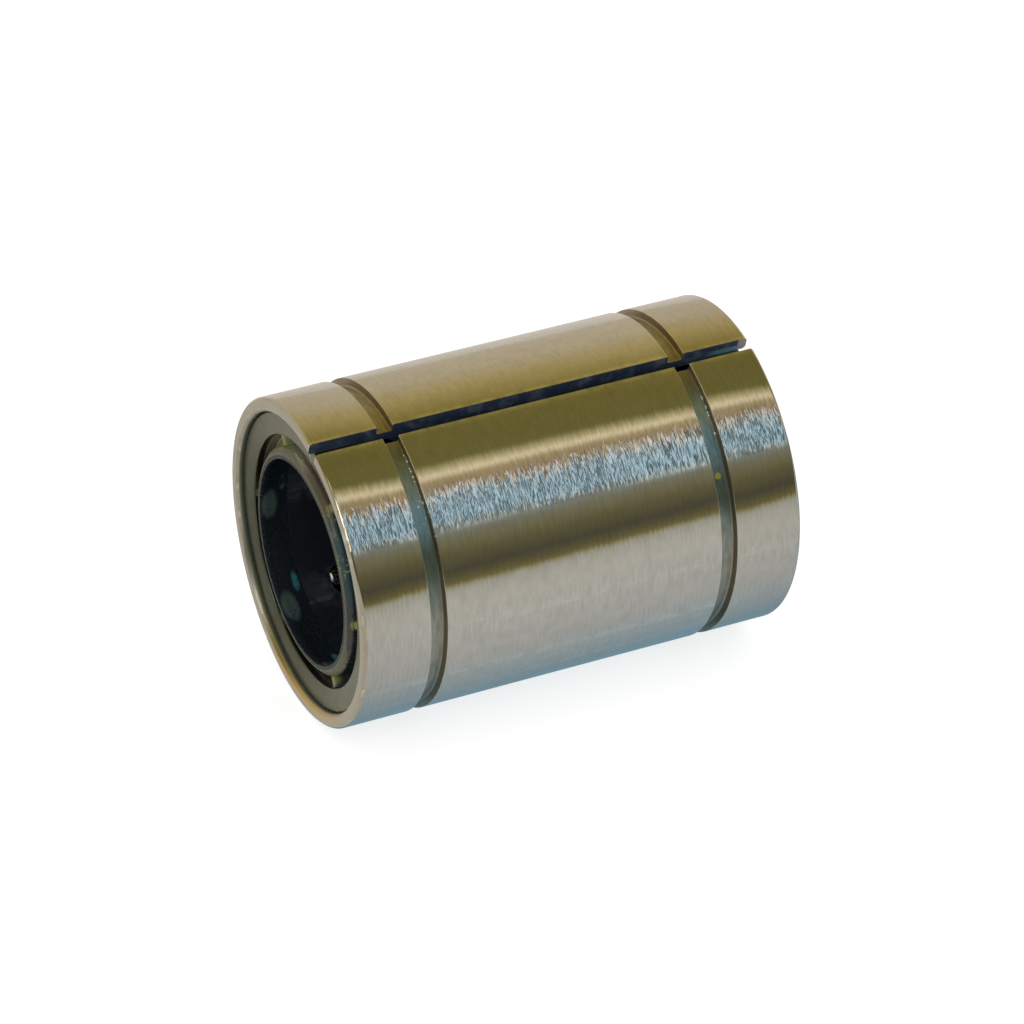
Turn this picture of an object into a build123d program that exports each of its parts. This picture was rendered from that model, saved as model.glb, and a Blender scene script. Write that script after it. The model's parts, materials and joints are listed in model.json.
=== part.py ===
from build123d import *
import math
import os

# Sealed linear ball bearing with a slit sleeve, in millimetres.
# Its axis is X, its middle is the origin, and it lies on its side with +Z up.
# Angles round the axis start at +Y and grow towards +Z. Front is the -X end.

# Main sizes
shaft_diameter = 20.0
bearing_length = 45.0
circuit_count = 6

# Balls and their lanes
ball_diameter = 3.175
ball_gap = 0.10             # between neighbours in a row
turn_step_angle = 90.0      # between neighbours in a turn
running_clearance = 0.02    # from a loaded ball to the shaft, and to the raceway
lane_clearance = 0.10       # round a ball in its lane
return_lift = 0.8425        # how much further out the return row runs than the loaded row
first_row_angle = 2.5       # of the first circuit's loaded row

# Outer sleeve
sleeve_wall = 2.785         # from the raceway to the outside
end_chamfer = 0.25
end_wall = 1.4              # round the recess at each end
recess_depth = 4.1
recess_chamfer = 0.25       # round the mouth of the recess
ring_groove_span = 31.5     # between the outer edges of the two grooves
ring_groove_width = 1.6
ring_groove_depth = 0.85
groove_edge_break = 0.1
raceway_overrun = 0.4       # of the raceway past the middle of each turn
relief_clearance = 0.05     # from the sleeve's relief to the outermost lane
slit_width = 1.35
slit_angle = 107.0

# Ball retainer
retainer_bore_gap = 0.3     # from the shaft to the retainer
retainer_clearance = 0.165  # from the retainer to the raceway
lane_end_wall = 1.5         # least wall past the turns
retainer_chamfer = 0.3

# End rings
seat_clearance = 0.02       # between pieces that are seated on each other
ring_outer_depth = 0.55     # of the ring's face below the sleeve's end
ring_inner_depth = 0.85
ring_plate_width = 2.3
ring_thickness = 0.75       # at the plate's inner edge
ring_skirt = 0.75
ring_rim_radius = 0.35      # of the rounding at the face's outer edge
ring_edge_radius = 0.15     # and at its inner edge

# Seals
lip_depth = 0.48            # of the lip's edge below the sleeve's end
lip_thickness = 1.1         # at the lip's root
lip_bevel_width = 0.6       # of the slope from the lip's edge to its outer side
lip_bevel_depth = 0.5
lip_land = 0.8              # length of the lip that meets the shaft
lip_relief = 0.2            # from the shaft to the seal's bore behind the land
lip_edge_radius = 0.15
trough_floor_depth = 2.6
seal_floor = 0.8
rib_width = 1.6
rib_depth = 1.25            # of the ribs' crests below the sleeve's end

# Radii that follow
shaft_radius = shaft_diameter / 2
ball_radius = ball_diameter / 2
track_radius = ball_radius + lane_clearance
loaded_row_radius = shaft_radius + running_clearance + ball_radius
return_row_radius = loaded_row_radius + return_lift
raceway_radius = shaft_radius + ball_diameter + 2 * running_clearance
outer_radius = raceway_radius + sleeve_wall
recess_radius = outer_radius - end_wall
groove_floor_radius = outer_radius - ring_groove_depth
relief_radius = return_row_radius + track_radius + relief_clearance
retainer_bore_radius = shaft_radius + retainer_bore_gap
retainer_radius = raceway_radius - retainer_clearance
ring_radius = recess_radius - seat_clearance
plate_inner_radius = ring_radius - ring_plate_width
skirt_inner_radius = ring_radius - ring_skirt
seal_radius = skirt_inner_radius - seat_clearance
lip_outer_radius = shaft_radius + lip_thickness
lip_crown_radius = lip_outer_radius - lip_bevel_width
trough_radius = plate_inner_radius

# Places along the axis that follow
end_face = bearing_length / 2
recess_shoulder = end_face - recess_depth
ring_back_depth = ring_inner_depth + ring_thickness
seal_front_depth = ring_back_depth + seat_clearance
seal_back_depth = trough_floor_depth + seal_floor
retainer_end = end_face - seal_back_depth - seat_clearance

# One circuit: two straight rows joined by a half turn at each end
ball_pitch = ball_diameter + ball_gap
turn_radius = ball_pitch / 2 / math.sin(math.radians(turn_step_angle / 2))  # also one pitch apart
room_for_rows = 2 * (retainer_end - lane_end_wall - track_radius - turn_radius)
row_ball_count = math.floor(room_for_rows / ball_pitch)
row_length = row_ball_count * ball_pitch
raceway_end = row_length / 2 + raceway_overrun
row_spread = math.degrees(
    math.acos(
        (loaded_row_radius**2 + return_row_radius**2 - (2 * turn_radius) ** 2)
        / (2 * loaded_row_radius * return_row_radius)
    )
)


def point_round_axis(radius, angle):
    turned = math.radians(angle)
    return Vector(0, radius * math.cos(turned), radius * math.sin(turned))


def turned_solid(points):
    """The solid that an outline of (x, radius) points makes when it is turned round the axis."""
    outline = make_face(Polyline(*points, close=True))
    return revolve(outline, Axis.X)


def both_ends(front_piece):
    """A front piece and its twin at the rear."""
    return front_piece, mirror(front_piece, Plane.YZ)


def row_angle(number):
    """The loaded row of a circuit. Circuits count from 1."""
    return first_row_angle + (number - 1) * 360 / circuit_count


def circuit_plane(number):
    """The plane of a circuit's ball centres: x along the axis, loaded row at +y, +z outwards."""
    loaded = point_round_axis(loaded_row_radius, row_angle(number))
    returning = point_round_axis(return_row_radius, row_angle(number) + row_spread)
    across = (returning - loaded).normalized()
    return Plane(origin=(loaded + returning) / 2, x_dir=(1, 0, 0), z_dir=across.cross(Vector(1, 0, 0)))


def straight_lane(section, side):
    """A lane of a given section along one row, side +1 for the loaded row."""
    start = Plane(origin=(-row_length / 2, side * turn_radius, 0), x_dir=(0, 1, 0), z_dir=(1, 0, 0))
    return extrude(start * section, amount=row_length)


def turn_lane(section, end):
    """A half turn of the lane at one end, end +1 for the rear."""
    start = Plane(origin=(end * row_length / 2, end * turn_radius, 0), x_dir=(0, 1, 0), z_dir=(1, 0, 0))
    middle = Axis((end * row_length / 2, 0, 0), (0, 0, -1))
    return revolve(start * section, middle, revolution_arc=180)


def circuit_lane(section, sides):
    """One circuit's lane as one cutter: the straight rows on the given sides and both half turns."""
    lane = straight_lane(section, sides[0])
    for side in sides[1:]:
        lane += straight_lane(section, side)
    return lane + turn_lane(section, 1) + turn_lane(section, -1)


def outer_sleeve():
    groove_outer = ring_groove_span / 2
    groove_inner = groove_outer - ring_groove_width
    relief_start = raceway_end + relief_radius - raceway_radius
    half = [
        (0, outer_radius),
        (groove_inner - groove_edge_break, outer_radius),
        (groove_inner, outer_radius - groove_edge_break),
        (groove_inner, groove_floor_radius),
        (groove_outer, groove_floor_radius),
        (groove_outer, outer_radius - groove_edge_break),
        (groove_outer + groove_edge_break, outer_radius),
        (end_face - end_chamfer, outer_radius),
        (end_face, outer_radius - end_chamfer),
        (end_face, recess_radius + recess_chamfer),
        (end_face - recess_chamfer, recess_radius),
        (recess_shoulder, recess_radius),
        (recess_shoulder, relief_radius),
        (relief_start, relief_radius),
        (raceway_end, raceway_radius),
        (0, raceway_radius),
    ]
    front_half, rear_half = both_ends(turned_solid([(-x, radius) for x, radius in half]))
    sleeve = front_half + rear_half
    channel = circuit_lane(Circle(track_radius), [-1])
    for number in range(1, circuit_count + 1):
        sleeve -= circuit_plane(number).location * channel
    slit = Pos(0, outer_radius, 0) * Box(2 * bearing_length, outer_radius, slit_width)
    return sleeve - Rot(slit_angle, 0, 0) * slit


def ball_retainer():
    body = turned_solid(
        [
            (-retainer_end, retainer_bore_radius),
            (-retainer_end, retainer_radius - retainer_chamfer),
            (-retainer_end + retainer_chamfer, retainer_radius),
            (retainer_end - retainer_chamfer, retainer_radius),
            (retainer_end, retainer_radius - retainer_chamfer),
            (retainer_end, retainer_bore_radius),
        ]
    )
    open_outwards = Pos(0, ball_radius) * Rectangle(2 * track_radius, ball_diameter)
    racetrack = circuit_lane(Circle(track_radius) + open_outwards, [1, -1])
    for number in range(1, circuit_count + 1):
        body -= circuit_plane(number).location * racetrack
    return body


def front_end_ring():
    ring = turned_solid(
        [
            (-end_face + ring_outer_depth, ring_radius),
            (-end_face + ring_inner_depth, plate_inner_radius),
            (-end_face + ring_back_depth, plate_inner_radius),
            (-end_face + ring_back_depth, skirt_inner_radius),
            (-recess_shoulder - seat_clearance, skirt_inner_radius),
            (-recess_shoulder - seat_clearance, ring_radius),
        ]
    )
    face_edges = ring.edges().filter_by(GeomType.CIRCLE).sort_by(Axis.X)[:2]
    ring = fillet(face_edges.sort_by(SortBy.RADIUS)[0], ring_edge_radius)
    rim_edges = ring.edges().filter_by(GeomType.CIRCLE).sort_by(SortBy.RADIUS)[-2:]
    return fillet(rim_edges.sort_by(Axis.X)[0], ring_rim_radius)


def front_seal():
    lip_bore = shaft_radius + lip_relief
    ring = turned_solid(
        [
            (-end_face + lip_depth, shaft_radius),
            (-end_face + lip_depth, lip_crown_radius),
            (-end_face + lip_depth + lip_bevel_depth, lip_outer_radius),
            (-end_face + trough_floor_depth, lip_outer_radius),
            (-end_face + trough_floor_depth, trough_radius),
            (-end_face + seal_front_depth, trough_radius),
            (-end_face + seal_front_depth, seal_radius),
            (-end_face + seal_back_depth, seal_radius),
            (-end_face + seal_back_depth, lip_bore),
            (-end_face + lip_depth + lip_land + lip_relief, lip_bore),
            (-end_face + lip_depth + lip_land, shaft_radius),
        ]
    )
    lip_edges = ring.edges().filter_by(GeomType.CIRCLE).sort_by(Axis.X)[:2]
    ring = fillet(lip_edges.sort_by(SortBy.RADIUS)[-1], lip_edge_radius)
    middle_of_trough = (lip_outer_radius + trough_radius) / 2
    rib_bottom = trough_floor_depth + seal_floor / 2
    rib = Pos(-end_face + (rib_depth + rib_bottom) / 2, middle_of_trough, 0) * Box(
        rib_bottom - rib_depth, trough_radius - lip_outer_radius + lip_thickness, rib_width
    )
    below_plate = turned_solid(
        [
            (-end_face + rib_depth, lip_outer_radius - lip_thickness / 2),
            (-end_face + rib_depth, trough_radius - seat_clearance),
            (-end_face + seal_front_depth, trough_radius - seat_clearance),
            (-end_face + seal_front_depth, seal_radius),
            (-end_face + rib_bottom, seal_radius),
            (-end_face + rib_bottom, lip_outer_radius - lip_thickness / 2),
        ]
    )
    for number in range(1, circuit_count + 1):
        turned_rib = Rot(row_angle(number), 0, 0) * rib
        ring += turned_rib & below_plate
    return ring


def balls_at(plane, places):
    """One node of balls at (x, y) places in a circuit's plane."""
    return Compound(children=[plane.location * Pos(x, y, 0) * Sphere(ball_radius) for x, y in places])


def circuit_balls(number):
    plane = circuit_plane(number)
    loaded = [(-row_length / 2 + place * ball_pitch, turn_radius) for place in range(row_ball_count)]
    rear_turn = [(row_length / 2, turn_radius), (row_length / 2 + turn_radius, 0)]
    returning = [(-x, -y) for x, y in loaded]
    front_turn = [(-x, -y) for x, y in rear_turn]
    return {
        f"loaded_balls_{number}": balls_at(plane, loaded),
        f"rear_turn_balls_{number}": balls_at(plane, rear_turn),
        f"return_balls_{number}": balls_at(plane, returning),
        f"front_turn_balls_{number}": balls_at(plane, front_turn),
    }


front_ring, rear_ring = both_ends(front_end_ring())
seal_in_front, seal_at_rear = both_ends(front_seal())
nodes = {
    "outer_sleeve": outer_sleeve(),
    "ball_retainer": ball_retainer(),
    "front_end_ring": front_ring,
    "rear_end_ring": rear_ring,
    "front_seal": seal_in_front,
    "rear_seal": seal_at_rear,
}
for circuit in range(1, circuit_count + 1):
    nodes.update(circuit_balls(circuit))

os.makedirs("parts", exist_ok=True)
for name, piece in nodes.items():
    export_step(piece, f"parts/{name}.step")
print(f"row of {row_ball_count} balls, pitch {ball_pitch:.3f}, row length {row_length:.3f}")
print(f"turn radius {turn_radius:.4f}, row spread {row_spread:.3f} degrees, outer radius {outer_radius:.3f}")
for circuit in range(1, circuit_count + 1):
    plane = circuit_plane(circuit)
    print(circuit, "middle", [round(v, 5) for v in plane.origin], "outwards", [round(v, 6) for v in plane.z_dir])
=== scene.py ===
import json
import math

import bmesh
import bpy
from mathutils import Matrix, Vector


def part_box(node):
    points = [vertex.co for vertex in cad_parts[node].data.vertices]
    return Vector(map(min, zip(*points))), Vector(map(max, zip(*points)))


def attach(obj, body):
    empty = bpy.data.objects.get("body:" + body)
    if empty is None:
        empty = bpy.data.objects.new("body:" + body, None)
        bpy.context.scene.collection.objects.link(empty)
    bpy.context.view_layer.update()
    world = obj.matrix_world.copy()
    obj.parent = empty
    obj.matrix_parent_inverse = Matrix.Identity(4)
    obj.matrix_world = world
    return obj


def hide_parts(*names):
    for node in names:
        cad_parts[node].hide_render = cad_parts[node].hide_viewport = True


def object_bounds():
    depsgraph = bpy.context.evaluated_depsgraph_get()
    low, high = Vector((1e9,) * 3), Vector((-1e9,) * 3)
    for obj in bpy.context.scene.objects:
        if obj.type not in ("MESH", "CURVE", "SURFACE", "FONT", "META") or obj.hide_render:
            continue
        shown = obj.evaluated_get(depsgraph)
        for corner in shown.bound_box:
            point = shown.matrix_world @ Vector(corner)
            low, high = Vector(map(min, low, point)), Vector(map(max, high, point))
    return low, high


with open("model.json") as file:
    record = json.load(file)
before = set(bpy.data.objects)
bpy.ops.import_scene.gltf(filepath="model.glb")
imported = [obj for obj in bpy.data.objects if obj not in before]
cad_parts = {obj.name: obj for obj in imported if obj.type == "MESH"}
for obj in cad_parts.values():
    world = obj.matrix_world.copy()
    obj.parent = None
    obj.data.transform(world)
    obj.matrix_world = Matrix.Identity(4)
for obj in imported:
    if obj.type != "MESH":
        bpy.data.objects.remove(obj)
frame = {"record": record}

# Sealed linear ball bearing. Its axis is X and the front end is at -X.
# Angles round the axis start at +Y and grow towards +Z.

cadLow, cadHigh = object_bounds()
mm = 0.001
shell = "bearing_shell"
mounts = {mount["name"]: mount for mount in frame["record"]["mounts"]}
shaftRadius = mounts["shaft_bore"]["dims"]["r_mm"] * mm
outerRadius = mounts["housing_seat"]["dims"]["r_mm"] * mm
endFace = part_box("outer_sleeve")[1].x
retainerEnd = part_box("ball_retainer")[1].x
print("frame loaded, sleeve radius", round(outerRadius, 5), "half length", round(endFace, 5))


# Object helpers

def addObject(name, data):
    made = bpy.data.objects.new(name, data)
    bpy.context.collection.objects.link(made)
    return made


def addMesh(name, bm):
    mesh = bpy.data.meshes.new(name)
    bm.to_mesh(mesh)
    bm.free()
    return mesh


def aim(made, place, target=(0, 0, 0)):
    made.location = place
    made.rotation_euler = (Vector(target) - Vector(place)).to_track_quat("-Z", "Y").to_euler()


# Camera

camera = {
    "place": (-0.168768, -0.361159, 0.258095),
    "aim": (-0.000226, -0.000092, -0.000251),
    "lens": 175.19,
    "sensor": 36,
    "nearest": 0.01,
    "furthest": 20,
}


def makeCamera():
    data = bpy.data.cameras.new("camera")
    data.lens = camera["lens"]
    data.sensor_width = camera["sensor"]
    data.clip_start = camera["nearest"]
    data.clip_end = camera["furthest"]
    bpy.context.scene.camera = addObject("camera", data)
    aim(bpy.context.scene.camera, camera["place"], camera["aim"])


makeCamera()
print("camera set")


# Node helpers

def plug(tree, socket, value):
    if isinstance(value, bpy.types.NodeSocket):
        tree.links.new(value, socket)
    else:
        socket.default_value = value


def plugAll(tree, node, inputs):
    for key, value in dict(inputs).items():
        plug(tree, node.inputs[key], value)


def addNode(tree, kind, inputs=(), **settings):
    made = tree.nodes.new("ShaderNode" + kind)
    for key, value in settings.items():
        setattr(made, key, value)
    plugAll(tree, made, inputs)
    return made


def maths(tree, operation, *values):
    return addNode(tree, "Math", enumerate(values), operation=operation).outputs[0]


def times(tree, first, *others):
    for other in others:
        first = maths(tree, "MULTIPLY", first, other)
    return first


def highest(tree, first, *others):
    for other in others:
        first = maths(tree, "MAXIMUM", first, other)
    return first


def vectorMaths(tree, operation, *values):
    return addNode(tree, "VectorMath", enumerate(values), operation=operation).outputs[0]


def measured(tree, operation, *vectors):
    # a number that comes from vectors, such as a length
    made = addNode(tree, "VectorMath", enumerate(vectors), operation=operation)
    return made.outputs["Value"]


def scaled(tree, vector, amount):
    return addNode(tree, "VectorMath", {0: vector, "Scale": amount}, operation="SCALE").outputs[0]


def mapped(tree, value, low, high, newLow=0.0, newHigh=1.0):
    inputs = {"Value": value, "From Min": low, "From Max": high, "To Min": newLow, "To Max": newHigh}
    return addNode(tree, "MapRange", inputs, interpolation_type="SMOOTHSTEP").outputs[0]


def fading(tree, value, base, fade):
    # a mask that goes from 0 to 1 between two distances past the base
    start, end = fade
    return mapped(tree, value, base + start, base + end)


def mixed(tree, factor, colourA, colourB, blend="MIX"):
    inputs = {0: factor, 6: colourA, 7: colourB}
    return addNode(tree, "Mix", inputs, data_type="RGBA", blend_type=blend).outputs[2]


def mixedShaders(tree, factor, first, second):
    return addNode(tree, "MixShader", {0: factor, 1: first.outputs[0], 2: second.outputs[0]})


def objectPlace(tree):
    return addNode(tree, "TexCoord").outputs["Object"]


def split(tree, vector):
    return addNode(tree, "SeparateXYZ", {0: vector}).outputs


def joined(tree, x, y, z):
    return addNode(tree, "CombineXYZ", {"X": x, "Y": y, "Z": z}).outputs[0]


def noise(tree, vector, inputs):
    return addNode(tree, "TexNoise", {"Vector": vector, **inputs}).outputs


def bump(tree, height, inputs):
    return addNode(tree, "Bump", {"Height": height, **inputs}).outputs[0]


def axisPlace(tree):
    # the place, its distance from the bearing's axis, and the direction out from the axis
    part = split(tree, objectPlace(tree))
    flat = joined(tree, 0, part["Y"], part["Z"])
    return part, measured(tree, "LENGTH", flat), vectorMaths(tree, "NORMALIZE", flat)


def colour(red, green, blue):
    return (red, green, blue, 1)


def newMaterial(name):
    made = bpy.data.materials.new(name)
    made.use_nodes = True
    tree = made.node_tree
    return made, tree, tree.nodes["Principled BSDF"]


def newGroup(name, inputs, outputs):
    # every input is a number, and an output is a Float or a Vector
    tree = bpy.data.node_groups.new(name, "ShaderNodeTree")
    for label, value in inputs.items():
        socket = tree.interface.new_socket(label, in_out="INPUT", socket_type="NodeSocketFloat")
        socket.default_value = value
    for label, kind in outputs.items():
        tree.interface.new_socket(label, in_out="OUTPUT", socket_type="NodeSocket" + kind)
    return tree, tree.nodes.new("NodeGroupInput").outputs, tree.nodes.new("NodeGroupOutput")


def placeGroup(tree, group, inputs=()):
    return addNode(tree, "Group", inputs, node_tree=group).outputs


# Surroundings: pale floor, white to the camera, and the room that polished metal sees

room = {
    "soft": colour(0.70, 0.73, 0.78),  # what matt surfaces are lit by
    "softStrength": 0.80,
    "floorColour": colour(0.66, 0.64, 0.61),
    "floorWhite": 0.72,  # the floor's own white to the camera
    "floorRoughness": 0.9,
    "floorShine": 0.1,
    "floorFront": 0.42,  # metres in front of the bearing
    "floorReach": 1.6,
    # what metal sees of the floor, by its y in metres, with painted shade and shadow near the bearing's
    # contact line
    "floorBands": (
        (-0.420, "edge", (0.22, 0.19, 0.075)),
        (-0.330, "far", (0.29, 0.26, 0.12)),
        (-0.240, "olive", (0.42, 0.39, 0.27)),
        (-0.170, "front", (0.52, 0.525, 0.465)),
        (-0.120, "middle", (0.58, 0.58, 0.54)),
        (-0.060, "lit", (0.66, 0.65, 0.62)),
        (-0.034, "near", (0.62, 0.64, 0.63)),
        (-0.022, "shade", (0.56, 0.57, 0.58)),
        (-0.016, "shadow", (0.44, 0.51, 0.555)),
        (-0.008, "contact", (0.19, 0.32, 0.41)),
        (0.012, "contactBehind", (0.20, 0.30, 0.36)),
        (0.030, "behind", (0.70, 0.64, 0.57)),
        (0.120, "backdrop", (0.71, 0.65, 0.57)),
    ),
    "floorLeft": colour(0.56, 0.52, 0.44),  # a painted pool of the key lamp's warm light, in front of the end face
    "floorLeftFade": (0.2 * mm, -0.4 * mm),  # past the end face
    # bright and dark bars that cross the window, by the X of a direction, and the angles where they fade
    "windowBars": {"pitch": 0.30, "darkest": 0.355, "contrast": 0.88, "top": (117, 121), "foot": (150, 145)},
    "glare": colour(0.95, 0.98, 1.0),  # the middle of a bright bar
    "glareStrength": 0.36,
    "climb": 0.60,  # radians that the bands rise towards the end face
    "climbFade": (-0.55, -0.85),  # by the X of a direction
    # angle round X from +Y (behind) over the top to -Y (in front), in degrees
    "bands": (
        (0, "wallBehind", (0.62, 0.545, 0.42)),
        (24, "wallHigh", (0.63, 0.54, 0.38)),
        (44, "wallOchre", (0.54, 0.43, 0.18)),
        (62, "wallTop", (0.33, 0.26, 0.07)),
        (80, "ceiling", (0.21, 0.18, 0.05)),
        (102, "ceilingFront", (0.21, 0.185, 0.055)),
        (106.5, "lampEdge", (0.62, 0.54, 0.29)),
        (110.5, "lamp", (1.05, 0.93, 0.65)),
        (114, "lampFoot", (0.52, 0.41, 0.22)),
        (119, "windowTop", (0.40, 0.31, 0.20)),
        (122, "paneHigh", (0.60, 0.51, 0.42)),
        (126, "pane", (0.36, 0.50, 0.60)),
        (134, "paneMiddle", (0.24, 0.44, 0.60)),
        (142, "paneLow", (0.26, 0.45, 0.59)),
        (147, "windowSill", (0.32, 0.36, 0.35)),
        (152, "wallLit", (0.26, 0.26, 0.19)),
        (157, "wallFront", (0.235, 0.215, 0.125)),
        (164, "wallShade", (0.165, 0.15, 0.072)),
        (174, "skirting", (0.10, 0.093, 0.065)),
        (179, "skirtingFoot", (0.145, 0.13, 0.065)),
        (183, "floorEdge", (0.22, 0.19, 0.075)),
        (200, "ground", (0.09, 0.085, 0.07)),
    ),
}


def setBands(ramp, bands):
    stops = ramp.color_ramp.elements
    while len(stops) > 1:
        stops.remove(stops[-1])
    stops[0].position = bands[0][0]
    stops[0].color = colour(*bands[0][1])
    for place, shade in bands[1:]:
        stops.new(place).color = colour(*shade)


def makeRoom():
    world = bpy.data.worlds.new("room")
    bpy.context.scene.world = world
    world.use_nodes = True
    tree = world.node_tree
    tree.nodes.clear()
    part = split(tree, addNode(tree, "TexCoord").outputs["Generated"])
    turn = maths(tree, "ARCTAN2", part["Z"], part["Y"])
    turn = maths(tree, "ADD", turn, mapped(tree, part["X"], *room["climbFade"], 0.0, room["climb"]))
    # -90 to 270 degrees run from 0 to 1, so that the seam lies straight below
    quarterOn = maths(tree, "ADD", turn, math.pi / 2)
    share = maths(tree, "WRAP", quarterOn, 2 * math.pi, 0.0)
    share = maths(tree, "DIVIDE", share, 2 * math.pi)
    ramp = addNode(tree, "ValToRGB", {0: share})
    setBands(ramp, [((degrees + 90) / 360, shade) for degrees, name, shade in room["bands"]])
    bars = room["windowBars"]
    degrees = maths(tree, "MULTIPLY_ADD", share, 360.0, -90.0)
    across = maths(tree, "SUBTRACT", part["X"], bars["darkest"])
    wave = maths(tree, "COSINE", times(tree, across, 2 * math.pi / bars["pitch"]))
    belowTop = mapped(tree, degrees, *bars["top"])
    aboveFoot = mapped(tree, degrees, *bars["foot"])
    inWindow = times(tree, belowTop, aboveFoot, -bars["contrast"])
    lit = maths(tree, "MULTIPLY_ADD", wave, inWindow, 1.0)
    glare = room["glareStrength"]
    glaring = maths(tree, "MAXIMUM", maths(tree, "MULTIPLY_ADD", lit, glare, -glare), 0.0)
    shown = mixed(tree, glaring, ramp.outputs[0], room["glare"])
    seen = addNode(tree, "LightPath").outputs
    matt = addNode(tree, "Background", {"Color": room["soft"], "Strength": room["softStrength"]})
    glossy = addNode(tree, "Background", {"Color": shown, "Strength": lit})
    white = addNode(tree, "Background", {"Color": colour(1, 1, 1), "Strength": 1.0})
    forMetal = mixedShaders(tree, seen["Is Glossy Ray"], matt, glossy)
    forCamera = mixedShaders(tree, seen["Is Camera Ray"], forMetal, white)
    addNode(tree, "OutputWorld", {0: forCamera.outputs[0]})


def makeFloor():
    bm = bmesh.new()
    bmesh.ops.create_grid(bm, x_segments=1, y_segments=1, size=room["floorReach"])
    for vert in bm.verts:
        vert.co.z = cadLow.z
        if vert.co.y < 0:
            vert.co.y = -room["floorFront"]
    floor = addObject("floor", addMesh("floor", bm))
    made, tree, shader = newMaterial("floorPaint")
    seen = addNode(tree, "LightPath").outputs
    plugAll(tree, shader, {
        "Base Color": room["floorColour"],
        "Roughness": room["floorRoughness"],
        "Specular IOR Level": room["floorShine"],
        "Emission Color": colour(1, 1, 1),
        "Emission Strength": times(tree, seen["Is Camera Ray"], room["floorWhite"]),
    })
    part = split(tree, objectPlace(tree))
    low, high = room["floorBands"][0][0], room["floorBands"][-1][0]
    share = addNode(tree, "MapRange", {"Value": part["Y"], "From Min": low, "From Max": high})
    ramp = addNode(tree, "ValToRGB", {0: share.outputs[0]})
    setBands(ramp, [((y - low) / (high - low), shade) for y, name, shade in room["floorBands"]])
    # a painted pool of the key lamp's warm light on the floor in front of the end face
    left = fading(tree, part["X"], -endFace, room["floorLeftFade"])
    shown = mixed(tree, left, ramp.outputs[0], room["floorLeft"])
    mirrored = addNode(tree, "Emission", {"Color": shown, "Strength": 1.0})
    forMetal = mixedShaders(tree, seen["Is Glossy Ray"], shader, mirrored)
    plug(tree, tree.nodes["Material Output"].inputs[0], forMetal.outputs[0])
    floor.data.materials.append(made)


lamps = {
    "keyLamp": {
        "place": (-0.55, -0.08, 0.21), "size": 0.18, "power": 0.26,
        "tint": (1.0, 0.90, 0.74), "inMetal": True,
    },
    "fillLamp": {
        "place": (0.10, -0.75, 0.55), "size": 0.60, "power": 1.4,
        "tint": (0.84, 0.92, 1.0), "inMetal": False,  # the room's window stands in for it
    },
}


def makeLamp(name, facts):
    data = bpy.data.lights.new(name, "AREA")
    data.energy = facts["power"]
    data.size = facts["size"]
    data.color = facts["tint"]
    made = addObject(name, data)
    aim(made, facts["place"])
    made.visible_glossy = facts["inMetal"]


makeRoom()
makeFloor()
for name, facts in lamps.items():
    makeLamp(name, facts)
bpy.context.scene.view_settings.view_transform = "Standard"
print("surroundings made")


# The circuits that the balls run round

circuit = {
    "count": 6,
    "firstRow": 2.5,  # degrees
    "ballRadius": 1.5875 * mm,
    "ballSegments": 32,  # round a ball, and half as many from pole to pole
    "ballSharpFrom": 60,
    "loadedRow": 11.6075 * mm,  # radius of the loaded row about the bearing's axis
    "returnRow": 12.45 * mm,
    "ballGap": 0.10 * mm,
    "rowBalls": 8,
    "laneClearance": 0.10 * mm,
}
ballPitch = 2 * circuit["ballRadius"] + circuit["ballGap"]
turnRadius = ballPitch / math.sqrt(2)
rowLength = circuit["rowBalls"] * ballPitch
laneRadius = circuit["ballRadius"] + circuit["laneClearance"]


def roundAxis(radius, degrees):
    turned = math.radians(degrees)
    return Vector((0, radius * math.cos(turned), radius * math.sin(turned)))


def rowAngle(number):
    return circuit["firstRow"] + (number - 1) * 360 / circuit["count"]


def rowSpread():
    loaded, returning = circuit["loadedRow"], circuit["returnRow"]
    between = (loaded**2 + returning**2 - (2 * turnRadius) ** 2) / (2 * loaded * returning)
    return math.degrees(math.acos(between))


def circuitMatrix(number):
    # x along the axis, loaded row at local +y, z outwards
    loaded = roundAxis(circuit["loadedRow"], rowAngle(number))
    returning = roundAxis(circuit["returnRow"], rowAngle(number) + rowSpread())
    along = Vector((1, 0, 0))
    across = (loaded - returning).normalized()
    out = along.cross(across)
    turn = Matrix((along, across, out)).transposed().to_4x4()
    return Matrix.Translation((loaded + returning) / 2) @ turn


# Shared effects

strokes = {
    "inputs": {"Fineness": 6000.0, "Stroke": 9.0, "Lean": 0.06, "Tilt Round": 0.05, "Tilt Across": 0.15},
    "byRadius": 1.37,  # how much faster they follow each other across an end face
    "noise": {"Scale": 1.0, "Detail": 2.0, "Roughness": 0.55},
    "maskReach": 0.35,
}


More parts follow.
